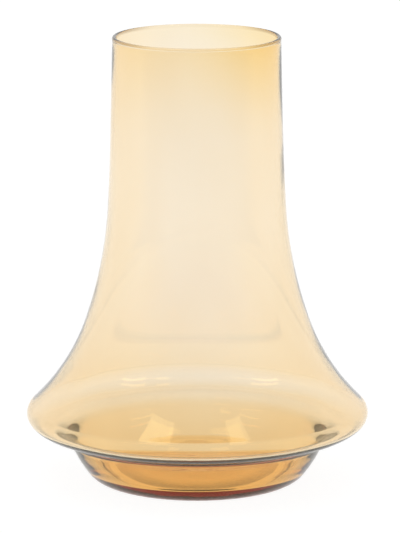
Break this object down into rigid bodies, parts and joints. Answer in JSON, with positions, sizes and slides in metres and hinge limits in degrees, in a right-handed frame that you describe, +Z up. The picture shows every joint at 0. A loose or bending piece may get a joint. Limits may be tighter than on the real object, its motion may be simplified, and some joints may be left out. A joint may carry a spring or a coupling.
{
  "type": "vase",
  "caption": "Transparent amber blown-glass vase: open cylindrical neck, bell flare to a wide rounded shoulder, and a smaller thick-bottomed foot bowl.",
  "frame": {"origin": "on the vase's axis, in the plane of the contact ring that it stands on", "axes": "+Z up along the axis of revolution, out of the mouth; the object is round, so X and Y are free, and -Y faces the viewer of the picture"},
  "size_m": [0.2355, 0.2354, 0.3087],
  "materials": {
    "amber_glass": "clear pale amber glass, coloured through, fire-polished and glossy; it looks deeper where the wall is thick or seen edge on"
  },
  "bodies": {
    "root": {"lip_ring": "amber_glass", "neck_wall": "amber_glass", "bell_wall": "amber_glass", "shoulder_turn": "amber_glass", "bowl_wall": "amber_glass", "base_pad": "amber_glass"}
  },
  "joints": []
}
